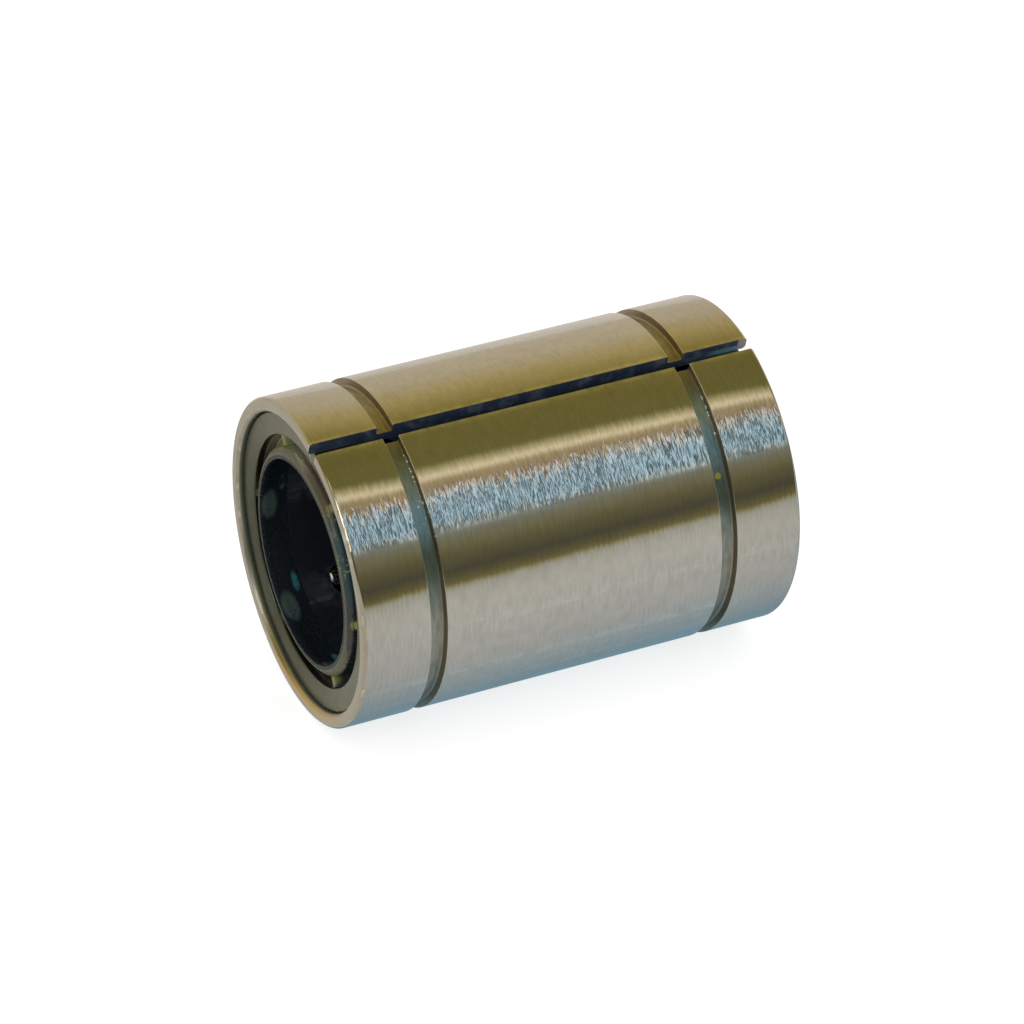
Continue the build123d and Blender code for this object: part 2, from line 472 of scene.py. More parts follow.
def makeTurningMarks():
    # fine strokes left by the wheel or tool, which run round the axis on every face
    outputs = {"Normal": "Vector", "Stroke Mask": "Float"}
    tree, given, out = newGroup("turningMarks", strokes["inputs"], outputs)
    part, radius, outwards = axisPlace(tree)
    turned = split(tree, outwards)
    normal = addNode(tree, "NewGeometry").outputs["Normal"]
    alongMarks = vectorMaths(tree, "CROSS_PRODUCT", (1, 0, 0), outwards)
    acrossMarks = vectorMaths(tree, "CROSS_PRODUCT", alongMarks, normal)
    y = times(tree, turned["Y"], given["Stroke"])
    z = times(tree, turned["Z"], given["Stroke"])
    reach = maths(tree, "MULTIPLY_ADD", radius, strokes["byRadius"], part["X"])
    layers = []
    for side in (1, -1):
        lean = times(tree, given["Lean"], side)
        leaning = maths(tree, "MULTIPLY_ADD", part["Z"], lean, reach)
        where = joined(tree, times(tree, leaning, given["Fineness"]), y, z)
        layers.append(noise(tree, where, strokes["noise"])["Color"])
    both = vectorMaths(tree, "ADD", *layers)
    amount = split(tree, vectorMaths(tree, "SUBTRACT", both, (1.0, 1.0, 1.0)))
    tiltRound = times(tree, amount["X"], given["Tilt Round"])
    tiltAcross = times(tree, amount["Y"], given["Tilt Across"])
    bent = vectorMaths(tree, "ADD", normal, scaled(tree, alongMarks, tiltRound))
    bent = vectorMaths(tree, "ADD", bent, scaled(tree, acrossMarks, tiltAcross))
    mask = mapped(tree, amount["Z"], -strokes["maskReach"], strokes["maskReach"])
    plugAll(tree, out, {"Normal": vectorMaths(tree, "NORMALIZE", bent), "Stroke Mask": mask})
    return tree


rubbed = {
    "inputs": {"Reach": 0.02, "Patchiness": 900.0},
    "flat": 0.5,  # the pointiness of a flat face
    "bluntest": 0.515,  # and of the bluntest edge that wears
    "noise": {"Detail": 4.0},
    "patches": (0.3, 0.6),
}


def makeEdgeWear():
    # bright where an edge is rubbed, broken up by a noise
    tree, given, out = newGroup("edgeWear", rubbed["inputs"], {"Mask": "Float"})
    sharpness = addNode(tree, "NewGeometry").outputs["Pointiness"]
    limit = maths(tree, "ADD", given["Reach"], rubbed["flat"])
    inputs = {"Value": sharpness, "From Min": rubbed["bluntest"], "From Max": limit}
    raised = addNode(tree, "MapRange", inputs).outputs[0]
    patches = noise(tree, objectPlace(tree), {"Scale": given["Patchiness"], **rubbed["noise"]})
    patchy = mapped(tree, patches["Fac"], *rubbed["patches"])
    plug(tree, out.inputs["Mask"], times(tree, raised, patchy))
    return tree


oil = {
    "inputs": {"Scale": 160.0, "Amount": 0.5},
    "noise": {"Detail": 5.0, "Roughness": 0.6},
    "driest": 0.72,  # where the noise has to reach when there is no oil
    "wetting": 0.5,  # how far the amount of oil brings that down
    "rim": 0.16,
    "beadScale": 12.0,  # beads to a patch of oil
    "bead": (0.45, 0.1),  # from a bead's rim to its crown
}


def makeOilFilm():
    # a thin uneven film of oil: where it lies, and small drops as a height
    tree, given, out = newGroup("oilFilm", oil["inputs"], {"Mask": "Float", "Drops": "Float"})
    place = objectPlace(tree)
    spread = noise(tree, place, {"Scale": given["Scale"], **oil["noise"]})
    wetting = times(tree, given["Amount"], oil["wetting"])
    low = maths(tree, "SUBTRACT", oil["driest"], wetting)
    lying = mapped(tree, spread["Fac"], low, maths(tree, "ADD", low, oil["rim"]))
    inputs = {"Vector": place, "Scale": times(tree, given["Scale"], oil["beadScale"])}
    beads = addNode(tree, "TexVoronoi", inputs, feature="SMOOTH_F1")
    bead = mapped(tree, beads.outputs["Distance"], *oil["bead"])
    plugAll(tree, out, {"Mask": lying, "Drops": times(tree, bead, lying)})
    return tree


def makeBearingPlace():
    # radius, depth below the nearer end face, and degrees off the nearest loaded row
    outputs = {"Radius": "Float", "Depth": "Float", "Off Row": "Float", "Outwards": "Vector"}
    tree, given, out = newGroup("bearingPlace", {}, outputs)
    part, radius, outwards = axisPlace(tree)
    depth = maths(tree, "SUBTRACT", endFace, maths(tree, "ABSOLUTE", part["X"]))
    turn = maths(tree, "DEGREES", maths(tree, "ARCTAN2", part["Z"], part["Y"]))
    halfway = 180 / circuit["count"]
    offRow = maths(tree, "WRAP", maths(tree, "SUBTRACT", turn, circuit["firstRow"]), halfway, -halfway)
    plugAll(tree, out, {"Radius": radius, "Depth": depth, "Off Row": offRow, "Outwards": outwards})
    return tree


turningMarks = makeTurningMarks()
edgeWear = makeEdgeWear()
oilFilm = makeOilFilm()
bearingPlace = makeBearingPlace()


# Finishes
# A patch is an angle round the axis and the cosines off it between which it fades in.
# A fade is two distances past an edge, or two values of a mask, between which it comes in.

def facing(tree, where, patch):
    degrees, low, high = patch
    return mapped(tree, measured(tree, "DOT_PRODUCT", where["Outwards"], roundAxis(1, degrees)), low, high)


def newFinish(name, look):
    made, tree, shader = newMaterial(name)
    return made, tree, shader, placeGroup(tree, oilFilm, look["film"])


def layered(tree, look, body, **masks):
    # the finish's colours laid over one another, each where its mask is
    for name, mask in masks.items():
        body = mixed(tree, mask, body, look[name])
    return body


def underFilm(tree, film, look):
    return maths(tree, "MULTIPLY_ADD", film["Mask"], look["filmRoughness"], look["roughness"])


def roundTangent(tree, shader):
    # the marks run round the axis, so a highlight spreads across them
    tangent = addNode(tree, "Tangent", direction_type="RADIAL", axis="X")
    plugAll(tree, shader, {"Tangent": tangent.outputs[0], "Anisotropic Rotation": 0.25})


groundSteel = {
    "base": colour(0.60, 0.58, 0.53),
    "dull": colour(0.53, 0.51, 0.45),
    "worn": colour(0.80, 0.77, 0.70),
    "stain": colour(0.50, 0.45, 0.34),
    "stainShare": 0.03,
    "golden": colour(0.70, 0.54, 0.30),  # painted warm reflection of lamp light on the low side of the end face
    "goldenPatch": (266, 0.78, 0.97),
    "goldenFade": (-0.35 * mm, 0.1 * mm),  # from the sleeve's outside to the mouth
    "fineness": 4400.0,
    "scoredPatch": (138, 0.9886, 0.9952),  # the near side is scored more deeply
    "tiltRound": (0.14, 0.02),  # what the scoring adds, and what it adds to
    "tiltAcross": (0.42, 0.10),
    "wear": {"Reach": 0.05},
    "film": {"Scale": 60.0, "Amount": 0.25},
    "roughness": 0.10,
    "betweenStrokes": 0.02,  # rougher there, and smoother on a stroke
    "onStrokes": -0.03,
    "mouthRoughness": 0.40,  # the recess's chamfer isn't ground as finely
    "mouthFade": (0.03 * mm, -0.03 * mm),
    "anisotropy": 0.90,
}


def makeGroundSteel(look):
    made, tree, shader, film = newFinish("groundSleeveSteel", look)
    where = placeGroup(tree, bearingPlace)
    scored = facing(tree, where, look["scoredPatch"])
    marks = placeGroup(tree, turningMarks, {
        "Fineness": look["fineness"],
        "Tilt Round": maths(tree, "MULTIPLY_ADD", scored, *look["tiltRound"]),
        "Tilt Across": maths(tree, "MULTIPLY_ADD", scored, *look["tiltAcross"]),
    })
    wear = placeGroup(tree, edgeWear, look["wear"])
    mouth = sleeve["recess"] + sleeve["mouthChamfer"]
    # a painted warm reflection of lamp light on the low side of the end face
    start, end = look["goldenFade"]
    golden = mapped(tree, where["Radius"], outerRadius + start, mouth + end)
    metal = layered(
        tree, look, look["dull"],
        base=marks["Stroke Mask"],
        stain=times(tree, film["Mask"], look["stainShare"]),
        worn=wear["Mask"],
        golden=times(tree, golden, facing(tree, where, look["goldenPatch"])),
    )
    rough = look["roughness"]
    between = rough + look["betweenStrokes"]
    stroked = maths(tree, "MULTIPLY_ADD", marks["Stroke Mask"], look["onStrokes"], between)
    onMouth = fading(tree, where["Radius"], mouth, look["mouthFade"])
    rougher = look["mouthRoughness"] - rough
    plugAll(tree, shader, {
        "Base Color": metal,
        "Metallic": 1.0,
        "Roughness": maths(tree, "MULTIPLY_ADD", onMouth, rougher, stroked),
        "Anisotropic": look["anisotropy"],
        "Normal": marks["Normal"],
    })
    roundTangent(tree, shader)
    return made


turnedSteel = {
    "base": colour(0.42, 0.42, 0.36),
    "warm": colour(0.42, 0.38, 0.23),  # painted warm light on top
    "topPatch": (80, 0.60, 0.95),
    "teal": colour(0.28, 0.37, 0.36),  # painted teal reflection of the window on the near side
    "sidePatch": (145, 0.80, 0.97),
    "darkStroke": 0.78,
    "worn": colour(0.78, 0.74, 0.64),
    "wall": colour(0.42, 0.35, 0.25),  # stained groove walls
    "wallFade": (0.02 * mm, 0.1 * mm),  # above a groove's floor
    "landFade": (-0.05 * mm, -0.15 * mm),  # below the lands
    "edge": colour(0.78, 0.62, 0.36),  # painted highlight where the grooves' rims catch the light
    "edgePatch": (118, 0.93, 0.99),
    "edgeFade": (-0.20 * mm, -0.08 * mm),
    # pale painted glints on the oil drops
    "drop": colour(0.95, 0.90, 0.70),
    "dropFade": (0.45, 0.80),
    "beads": {"Scale": 260.0, "Amount": 0.8},  # beads of oil along the foot of the walls
    "beadPatch": (126, 0.95, 0.99),
    "beadFade": (0.2, 0.6),
    "footTop": (0.16 * mm, 0.08 * mm),
    "footBottom": (0, 0.02 * mm),
    "largeDrop": colour(0.36, 0.31, 0.03),  # one yellow drop in the rear groove
    "largeDropPlace": (14.9 * mm, 151),  # along the axis, and degrees round it
    "largeDropFade": (0.38 * mm, 0.26 * mm),
    "mouth": colour(0.34, 0.33, 0.23),  # dull oil inside the mouth of each recess
    "mouthFade": (0.3 * mm, 0.1 * mm),
    "mouthDepth": (1.5 * mm, 1.0 * mm),
    "golden": colour(0.56, 0.42, 0.20),  # painted warm reflection of lamp light on its low side
    "lowPatch": (275, 0.5, 0.8),
    "grime": colour(0.11, 0.13, 0.08),  # painted shade in the corner round each end ring
    "marks": {"Fineness": 2500.0, "Tilt Round": 0.05, "Tilt Across": 0.2},
    "wear": {"Reach": 0.05},
    "film": {"Scale": 140.0, "Amount": 0.5},
    "dullness": -0.8,
    "roughness": 0.42,
    "filmRoughness": -0.12,
    "dropShine": -0.2,
    "anisotropy": 0.6,
}


def makeTurnedSteel(look):
    # groove floors, recess walls and the sleeve's inside, which are left as turned
    made, tree, shader, film = newFinish("turnedSleeveSteel", look)
    where = placeGroup(tree, bearingPlace)
    marks = placeGroup(tree, turningMarks, look["marks"])
    wear = placeGroup(tree, edgeWear, look["wear"])
    radius = where["Radius"]
    onTop = facing(tree, where, look["topPatch"])
    onSide = facing(tree, where, look["sidePatch"])
    # painted light: warm on top, and the window's teal reflection on the near side
    metal = layered(tree, look, look["base"], warm=onTop, teal=onSide)
    shade = mapped(tree, marks["Stroke Mask"], 0, 1, look["darkStroke"], 1.0)
    metal = mixed(tree, 1.0, metal, shade, "MULTIPLY")
    floor = outerRadius - sleeve["grooveDepth"]
    onWall = fading(tree, radius, floor, look["wallFade"])
    onWall = times(tree, onWall, fading(tree, radius, outerRadius, look["landFade"]))
    # a painted highlight on the grooves' rims on the near side
    onEdge = fading(tree, radius, outerRadius, look["edgeFade"])
    onEdge = times(tree, onEdge, facing(tree, where, look["edgePatch"]))
    footTop = fading(tree, radius, floor, look["footTop"])
    footBottom = fading(tree, radius, floor, look["footBottom"])
    foot = times(tree, footTop, footBottom, facing(tree, where, look["beadPatch"]))
    beads = placeGroup(tree, oilFilm, look["beads"])["Drops"]
    onBead = mapped(tree, times(tree, beads, foot), *look["beadFade"])
    # the drops carry pale painted glints
    drops = mapped(tree, times(tree, film["Drops"], onSide), *look["dropFade"])
    drops = highest(tree, drops, onBead)
    along, degrees = look["largeDropPlace"]
    dropMiddle = roundAxis(floor, degrees) + Vector((along, 0, 0))
    fromDrop = measured(tree, "DISTANCE", objectPlace(tree), dropMiddle)
    onDrop = mapped(tree, fromDrop, *look["largeDropFade"])
    onMetal = {"worn": wear["Mask"], "wall": onWall, "edge": onEdge, "drop": drops, "largeDrop": onDrop}
    metal = layered(tree, look, metal, **onMetal)
    # inside each mouth: dull oil, with a painted warm reflection on the low side and painted shade deep in
    # the corner
    inMouth = fading(tree, radius, sleeve["recess"], look["mouthFade"])
    inMouth = times(tree, inMouth, mapped(tree, where["Depth"], *look["mouthDepth"]))
    onLow = facing(tree, where, look["lowPatch"])
    inCorner = mapped(tree, where["Depth"], sleeve["mouthChamfer"], endRing["outerDepth"])
    oily = layered(tree, look, look["mouth"], golden=onLow, grime=inCorner)
    dull = highest(tree, inMouth, onEdge, drops, onDrop)
    rough = underFilm(tree, film, look)
    plugAll(tree, shader, {
        "Base Color": mixed(tree, inMouth, metal, oily),
        "Metallic": maths(tree, "MULTIPLY_ADD", dull, look["dullness"], 1.0),
        "Roughness": maths(tree, "MULTIPLY_ADD", drops, look["dropShine"], rough),
        "Anisotropic": look["anisotropy"],
        "Normal": marks["Normal"],
    })
    roundTangent(tree, shader)
    return made


slitSteel = {
    "scale": colour(0.035, 0.050, 0.085),  # painted shade: near-black blue for the deep, narrow slit
    "bare": colour(0.10, 0.12, 0.15),
    "film": {"Scale": 500.0, "Amount": 0.5},
    "wiped": colour(0.16, 0.33, 0.36),  # teal deep in the slit, before the rear end
    "wipedFade": (-5.0 * mm, -2.6 * mm),
    "deepFade": (-0.6 * mm, -1.0 * mm),  # below the sleeve's outside
    "corner": colour(0.38, 0.345, 0.27),  # and bare steel at its corner
    "cornerFade": (-1.0 * mm, -0.8 * mm),
    "roughness": 0.55,
}


def makeSlitSteel(look):
    made, tree, shader, film = newFinish("slitSleeveSteel", look)
    where = placeGroup(tree, bearingPlace)
    along = split(tree, objectPlace(tree))["X"]
    deep = fading(tree, where["Radius"], outerRadius, look["deepFade"])
    # the slit's walls are painted near-black for the shade inside it
    body = layered(
        tree, look, look["scale"],
        bare=film["Mask"],
        wiped=times(tree, deep, fading(tree, along, endFace, look["wipedFade"])),
        corner=fading(tree, along, endFace, look["cornerFade"]),
    )
    plugAll(tree, shader, {"Base Color": body, "Roughness": look["roughness"]})
    return made


ringSteel = {
    "base": colour(0.22, 0.235, 0.19),
    "dull": colour(0.165, 0.18, 0.145),
    "worn": colour(0.62, 0.58, 0.46),
    "shaded": colour(0.105, 0.12, 0.09),  # painted shade on the low side
    "shadedPatch": (325, -0.2, 1.0),
    "rim": colour(0.07, 0.085, 0.07),  # painted shade round the rim, on the low side
    "rimPatch": (325, -0.1, 0.5),
    "rimFade": (-1.1 * mm, -0.2 * mm),
    "marks": {"Fineness": 3000.0, "Tilt Round": 0.02, "Tilt Across": 0.08},
    "wear": {"Reach": 0.06},
    "film": {"Scale": 220.0, "Amount": 0.6},
    "roughness": 0.36,
    "filmRoughness": -0.1,
}


def makeRingSteel(look):
    made, tree, shader, film = newFinish("endRingSteel", look)
    where = placeGroup(tree, bearingPlace)
    marks = placeGroup(tree, turningMarks, look["marks"])
    wear = placeGroup(tree, edgeWear, look["wear"])
    rim = fading(tree, where["Radius"], endRing["outside"], look["rimFade"])
    # painted shade on the low side and round the rim
    metal = layered(
        tree, look, look["base"],
        dull=film["Mask"],
        worn=wear["Mask"],
        shaded=facing(tree, where, look["shadedPatch"]),
        rim=times(tree, rim, facing(tree, where, look["rimPatch"])),
    )
    plugAll(tree, shader, {
        "Base Color": metal,
        "Metallic": 1.0,
        "Roughness": underFilm(tree, film, look),
        "Normal": marks["Normal"],
    })
    return made


rubber = {
    "deep": colour(0.012, 0.020, 0.028),
    "dusty": colour(0.026, 0.038, 0.046),
    "film": {"Scale": 260.0, "Amount": 0.7},
    "brown": colour(0.12, 0.095, 0.06),  # painted brown shade just past the lit top
    "brownPatch": (105, 0.85, 0.97),
    "teal": colour(0.025, 0.075, 0.085),  # painted bluish shade on the near side
    "tealPatch": (150, 0.90, 0.98),
    "top": colour(0.30, 0.28, 0.17),  # painted light on top
    "topPatch": (60, 0.75, 0.95),
    "lip": colour(0.16, 0.165, 0.10),  # the pale crown of the lip
    "lipBelow": 0.2 * mm,  # how far below the bevel it reaches
    "lipFade": 0.12 * mm,
    "climbPatch": (145, 0.2, 0.75),  # the films climb the bevel on the near side
    "climbPast": 0.05 * mm,
    # a spot is half its width in degrees, then its middle and half its length, outwards or in depth
    "rib": colour(0.27, 0.28, 0.06),
    "ribSpot": (4.2, 0.40 * mm, 0.75 * mm),
    "ribFoot": 0.3 * mm,
    "ribTop": 0.1 * mm,
    "boreFade": (0.45 * mm, 0.3 * mm),  # outside the shaft
    "pad": colour(0.10, 0.15, 0.125),  # rubbed clean over each loaded row
    "padSpot": (11.0, 1.5 * mm, 1.0 * mm),
    # painted teal glints just past each loaded row
    "glint": colour(0.05, 0.26, 0.28),
    "glintPast": 13.0,  # degrees past the row
    "glintSpot": (6.5, 2.8 * mm, 0.4 * mm),
    # painted glitter highlights on the lip's near side
    "glitter": colour(0.40, 0.44, 0.20),
    "glitterPatch": (140, 0.93, 0.99),
    "roughness": 0.40,
    "wetness": 0.6,
    "wetRoughness": 0.12,
    "drops": {"Strength": 0.7, "Distance": 0.1 * mm},
}


def spot(tree, across, along, size):
    # an oval on the surface: 1 inside, soft at its rim
    halfAcross, centre, halfAlong = size
    wide = maths(tree, "POWER", maths(tree, "DIVIDE", across, halfAcross), 2.0)
    off = maths(tree, "SUBTRACT", along, centre)
    tall = maths(tree, "POWER", maths(tree, "DIVIDE", off, halfAlong), 2.0)
    return mapped(tree, maths(tree, "ADD", wide, tall), 1.0, 0.3)


def inverse(tree, mask):
    return maths(tree, "SUBTRACT", 1.0, mask)


def makeSealRubber(look):
    made, tree, shader, film = newFinish("sealRubber", look)
    where = placeGroup(tree, bearingPlace)
    depth, radius, offRow = where["Depth"], where["Radius"], where["Off Row"]
    climbed = facing(tree, where, look["climbPatch"])
    paleFoot = seal["lipFace"] + seal["bevelDepth"] + look["lipBelow"]
    paleTo = maths(tree, "MULTIPLY_ADD", climbed, -seal["bevelDepth"] - look["climbPast"], paleFoot)
    onLip = mapped(tree, depth, paleTo, maths(tree, "SUBTRACT", paleTo, look["lipFade"]))
    onRib = spot(tree, offRow, maths(tree, "SUBTRACT", radius, seal["lipOuter"]), look["ribSpot"])
    raised = mapped(tree, depth, seal["trough"] - look["ribFoot"], seal["ribCrest"] + look["ribTop"])
    inBore = fading(tree, radius, shaftRadius, look["boreFade"])
    onPad = spot(tree, offRow, depth, look["padSpot"])
    onGlint = spot(tree, maths(tree, "SUBTRACT", offRow, look["glintPast"]), depth, look["glintSpot"])
    onGlitter = facing(tree, where, look["glitterPatch"])
    # painted light and shade by angle: brown and teal shade, and a lit top
    body = layered(
        tree, look, look["deep"],
        dusty=film["Mask"],
        brown=facing(tree, where, look["brownPatch"]),
        teal=facing(tree, where, look["tealPatch"]),
        top=facing(tree, where, look["topPatch"]),
        lip=onLip,
        rib=times(tree, onRib, raised),
        deep=inBore,
        pad=times(tree, onPad, inBore),
        glint=times(tree, onGlint, film["Mask"], inBore),
        glitter=times(tree, film["Drops"], onGlitter, inverse(tree, inBore)),
    )
    plugAll(tree, shader, {
        "Base Color": body,
        "Roughness": look["roughness"],
        "Coat Weight": times(tree, film["Mask"], inverse(tree, onLip), look["wetness"]),
        "Coat Roughness": look["wetRoughness"],
        "Normal": bump(tree, film["Drops"], look["drops"]),
    })
    return made


plastic = {
    "base": colour(0.010, 0.014, 0.022),
    "scuffed": colour(0.024, 0.030, 0.038),
    "worn": colour(0.08, 0.09, 0.09),
    "film": {"Scale": 200.0, "Amount": 0.5},
    "wear": {"Reach": 0.08},
    "roughness": 0.38,
    "filmRoughness": -0.14,
    "grain": {"Scale": 5000.0, "Detail": 2.0},
    "grainHeight": {"Strength": 0.25, "Distance": 0.02 * mm},
}


def makeRetainerPlastic(look):
    made, tree, shader, film = newFinish("retainerPlastic", look)
    wear = placeGroup(tree, edgeWear, look["wear"])
    grain = noise(tree, objectPlace(tree), look["grain"])
    plugAll(tree, shader, {
        "Base Color": layered(tree, look, look["base"], scuffed=film["Mask"], worn=wear["Mask"]),
        "Roughness": underFilm(tree, film, look),
        "Normal": bump(tree, grain["Fac"], look["grainHeight"]),
    })
    return made


ballSteel = {
    "base": colour(0.72, 0.72, 0.70),
    "oiled": colour(0.52, 0.56, 0.52),
    "film": {"Scale": 420.0, "Amount": 0.5},
    "roughness": 0.07,
    "filmRoughness": 0.10,  # the film takes some of the polish off
    "drops": {"Strength": 0.15, "Distance": 0.02 * mm},
}


def makeBallSteel(look):
    made, tree, shader, film = newFinish("ballSteel", look)
    plugAll(tree, shader, {
        "Base Color": layered(tree, look, look["base"], oiled=film["Mask"]),
        "Metallic": 1.0,
        "Roughness": underFilm(tree, film, look),
        "Normal": bump(tree, film["Drops"], look["drops"]),
    })
    return made


# Mesh helpers

meshing = {
    "turnSteps": 360,  # in a full turn round the axis
    "laneTurnSteps": 24,  # in a half turn of a lane
    "cornerSteps": 4,
    "sharpFrom": 30,  # degrees at an edge
}


def roundCorners(bm, verts, radius, steps):
    bmesh.ops.bevel(
        bm, geom=verts, offset=radius, offset_type="OFFSET", segments=steps,
        profile=0.5, affect="VERTICES", clamp_overlap=True, material=-1,
    )


def outline(bm, corners):
    # corners are (x, radius, rounding) in the plane z = 0
    verts = [bm.verts.new((x, radius, 0)) for x, radius, rounding in corners]
    bm.faces.new(verts)
    for vert, (x, radius, rounding) in zip(verts, corners):
        if rounding:
            roundCorners(bm, [vert], rounding, meshing["cornerSteps"])
    return bm.faces[:]


def bothEnds(front):
    # the corners of the front end, and the same at the rear
    return front + [(-x, radius, rounding) for x, radius, rounding in reversed(front)]


def turnedFully(bm, corners, steps=meshing["turnSteps"]):
    faces = outline(bm, corners)
    bmesh.ops.delete(bm, geom=faces, context="FACES_ONLY")
    bmesh.ops.spin(
        bm, geom=bm.verts[:] + bm.edges[:], cent=(0, 0, 0), axis=(1, 0, 0),
        angle=2 * math.pi, steps=steps, use_merge=True,
    )
    bmesh.ops.remove_doubles(bm, verts=bm.verts, dist=1e-7)
    bmesh.ops.recalc_face_normals(bm, faces=bm.faces)


def shaded(mesh, sharpFrom):
    mesh.shade_smooth()
    mesh.set_sharp_from_angle(angle=math.radians(sharpFrom))


def finished(bm, name, materials, sharpFrom=meshing["sharpFrom"]):
    mesh = addMesh(name, bm)
    shaded(mesh, sharpFrom)
    for material in materials:
        mesh.materials.append(material)
    return addObject(name, mesh)


def cutBy(piece, cutter):
    change = piece.modifiers.new("cut", "BOOLEAN")
    change.operation = "DIFFERENCE"
    change.solver = "EXACT"
    change.object = cutter
    bpy.context.view_layer.update()
    ready = piece.evaluated_get(bpy.context.evaluated_depsgraph_get())
    cut = bpy.data.meshes.new_from_object(ready)
    piece.modifiers.clear()
    piece.data = cut
    cut.name = piece.name
    shaded(cut, meshing["sharpFrom"])
    bpy.data.objects.remove(cutter)


def halfTurn(bm, geom, end):
    swung = bmesh.ops.spin(
        bm, geom=geom, cent=(end * rowLength / 2, 0, 0), axis=(0, 0, 1),
        angle=-math.pi, steps=meshing["laneTurnSteps"],
    )
    return swung["geom_last"]


def straightRun(bm, geom, distance):
    edges = [part for part in geom if isinstance(part, bmesh.types.BMEdge)]
    drawn = bmesh.ops.extrude_edge_only(bm, edges=edges)["geom"]
    verts = [part for part in drawn if isinstance(part, bmesh.types.BMVert)]
    bmesh.ops.translate(bm, verts=verts, vec=(distance, 0, 0))
    return [part for part in drawn if not isinstance(part, bmesh.types.BMFace)]


def circuitCutter(name, draw):
    # every circuit's lane is drawn in the circuit's own plane and moved to its place
    bm = bmesh.new()
    for number in range(1, circuit["count"] + 1):
        before = set(bm.verts)
        draw(bm)
        fresh = [vert for vert in bm.verts if vert not in before]
        bmesh.ops.transform(bm, matrix=circuitMatrix(number), verts=fresh)
    bmesh.ops.recalc_face_normals(bm, faces=bm.faces)
    return finished(bm, name, [])


def turnedAtEnd(bm, side, corners, steps=meshing["turnSteps"]):
    # corners are (depth below the end face, radius, rounding)
    turnedFully(bm, [(side * (endFace - depth), *rest) for depth, *rest in corners], steps)


def dress(piece, body, slot, *nodes):
    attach(piece, body)
    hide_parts(*nodes)


# Outer sleeve

sleeve = {
    "raceway": 13.215 * mm,
    "recess": 14.6 * mm,
    "recessDepth": 4.1 * mm,
    "relief": 14.1875 * mm,
    "racewayEnd": 13.5 * mm,
    "endChamfer": 0.25 * mm,
    "mouthChamfer": 0.25 * mm,
    "chamferRounding": 0.12 * mm,
    "grooveSpan": 31.5 * mm,
    "grooveWidth": 1.6 * mm,
    "grooveDepth": 0.85 * mm,
    "grooveEdge": 0.07 * mm,
    "grooveFillet": 0.22 * mm,
    "slitWidth": 1.35 * mm,
    "slitAngle": 107,
    "slitSlack": 1.05,  # of half the slit's angle, to find its walls
    "fineRounding": 0.06 * mm,
    "channelSides": 32,
    "finishSlack": 0.02 * mm,  # how near an edge a face changes its finish
    "grooveSlack": 0.05 * mm,
}


def sleeveCorners():
    outer = sleeve["grooveSpan"] / 2
    inner = outer - sleeve["grooveWidth"]
    floor = outerRadius - sleeve["grooveDepth"]
    edge, fine, chamfer = sleeve["grooveEdge"], sleeve["fineRounding"], sleeve["endChamfer"]
    shoulder = endFace - sleeve["recessDepth"]
    rampStart = sleeve["racewayEnd"] + sleeve["relief"] - sleeve["raceway"]
    front = [
        (-inner, outerRadius, edge),
        (-inner, floor, sleeve["grooveFillet"]),
        (-outer, floor, sleeve["grooveFillet"]),
        (-outer, outerRadius, edge),
        (-endFace + chamfer, outerRadius, sleeve["chamferRounding"]),
        (-endFace, outerRadius - chamfer, sleeve["chamferRounding"]),
        (-endFace, sleeve["recess"] + sleeve["mouthChamfer"], sleeve["chamferRounding"]),
        (-endFace + sleeve["mouthChamfer"], sleeve["recess"], sleeve["chamferRounding"]),
        (-shoulder, sleeve["recess"], fine),
        (-shoulder, sleeve["relief"], fine),
        (-rampStart, sleeve["relief"], 0),
        (-sleeve["racewayEnd"], sleeve["raceway"], 0),
    ]
    return bothEnds(front)


def drawChannel(bm):
    # the return channel and the two turns of a circuit
    sides = sleeve["channelSides"]
    ring = bmesh.ops.create_circle(bm, cap_ends=False, segments=sides, radius=laneRadius)["verts"]
    bmesh.ops.rotate(bm, verts=ring, cent=(0, 0, 0), matrix=Matrix.Rotation(math.pi / 2, 3, "Y"))
    bmesh.ops.translate(bm, verts=ring, vec=(rowLength / 2, turnRadius, 0))
    edges = list(dict.fromkeys(edge for vert in ring for edge in vert.link_edges))
    last = halfTurn(bm, ring + edges, 1)
    last = straightRun(bm, last, -rowLength)
    halfTurn(bm, last, -1)
    bmesh.ops.holes_fill(bm, edges=[edge for edge in bm.edges if edge.is_boundary])


def slitDirections():
    # out through the middle of the slit, and square to its walls
    return roundAxis(1, sleeve["slitAngle"]), roundAxis(1, sleeve["slitAngle"] + 90)


def makeSleeve(*finishes):
    bm = bmesh.new()
    faces = outline(bm, sleeveCorners())
    halfSlit = math.asin(sleeve["slitWidth"] / 2 / outerRadius)
    start = math.radians(sleeve["slitAngle"]) + halfSlit
    bmesh.ops.rotate(bm, verts=bm.verts, cent=(0, 0, 0), matrix=Matrix.Rotation(start, 3, "X"))
    bmesh.ops.spin(
        bm, geom=faces + bm.edges[:] + bm.verts[:], cent=(0, 0, 0), axis=(1, 0, 0),
        angle=2 * math.pi - 2 * halfSlit, steps=meshing["turnSteps"],
    )
    # the slit is sawn, so its walls are parallel
    towards, aside = slitDirections()
    for vert in bm.verts:
        side = vert.co.dot(aside)
        depth = vert.co.dot(towards)
        if depth > 0 and abs(math.atan2(side, depth)) < halfSlit * sleeve["slitSlack"]:
            radius = math.hypot(side, depth)
            wall = math.copysign(sleeve["slitWidth"] / 2, side)
            down = math.sqrt(radius**2 - wall**2)
            vert.co = Vector((vert.co.x, 0, 0)) + aside * wall + towards * down
    bmesh.ops.recalc_face_normals(bm, faces=bm.faces)
    piece = finished(bm, "outerSleeve", finishes)
    cutBy(piece, circuitCutter("channelCutter", drawChannel))
    markTurnedFaces(piece.data)
    dress(piece, shell, "ground_sleeve_steel", "outer_sleeve")


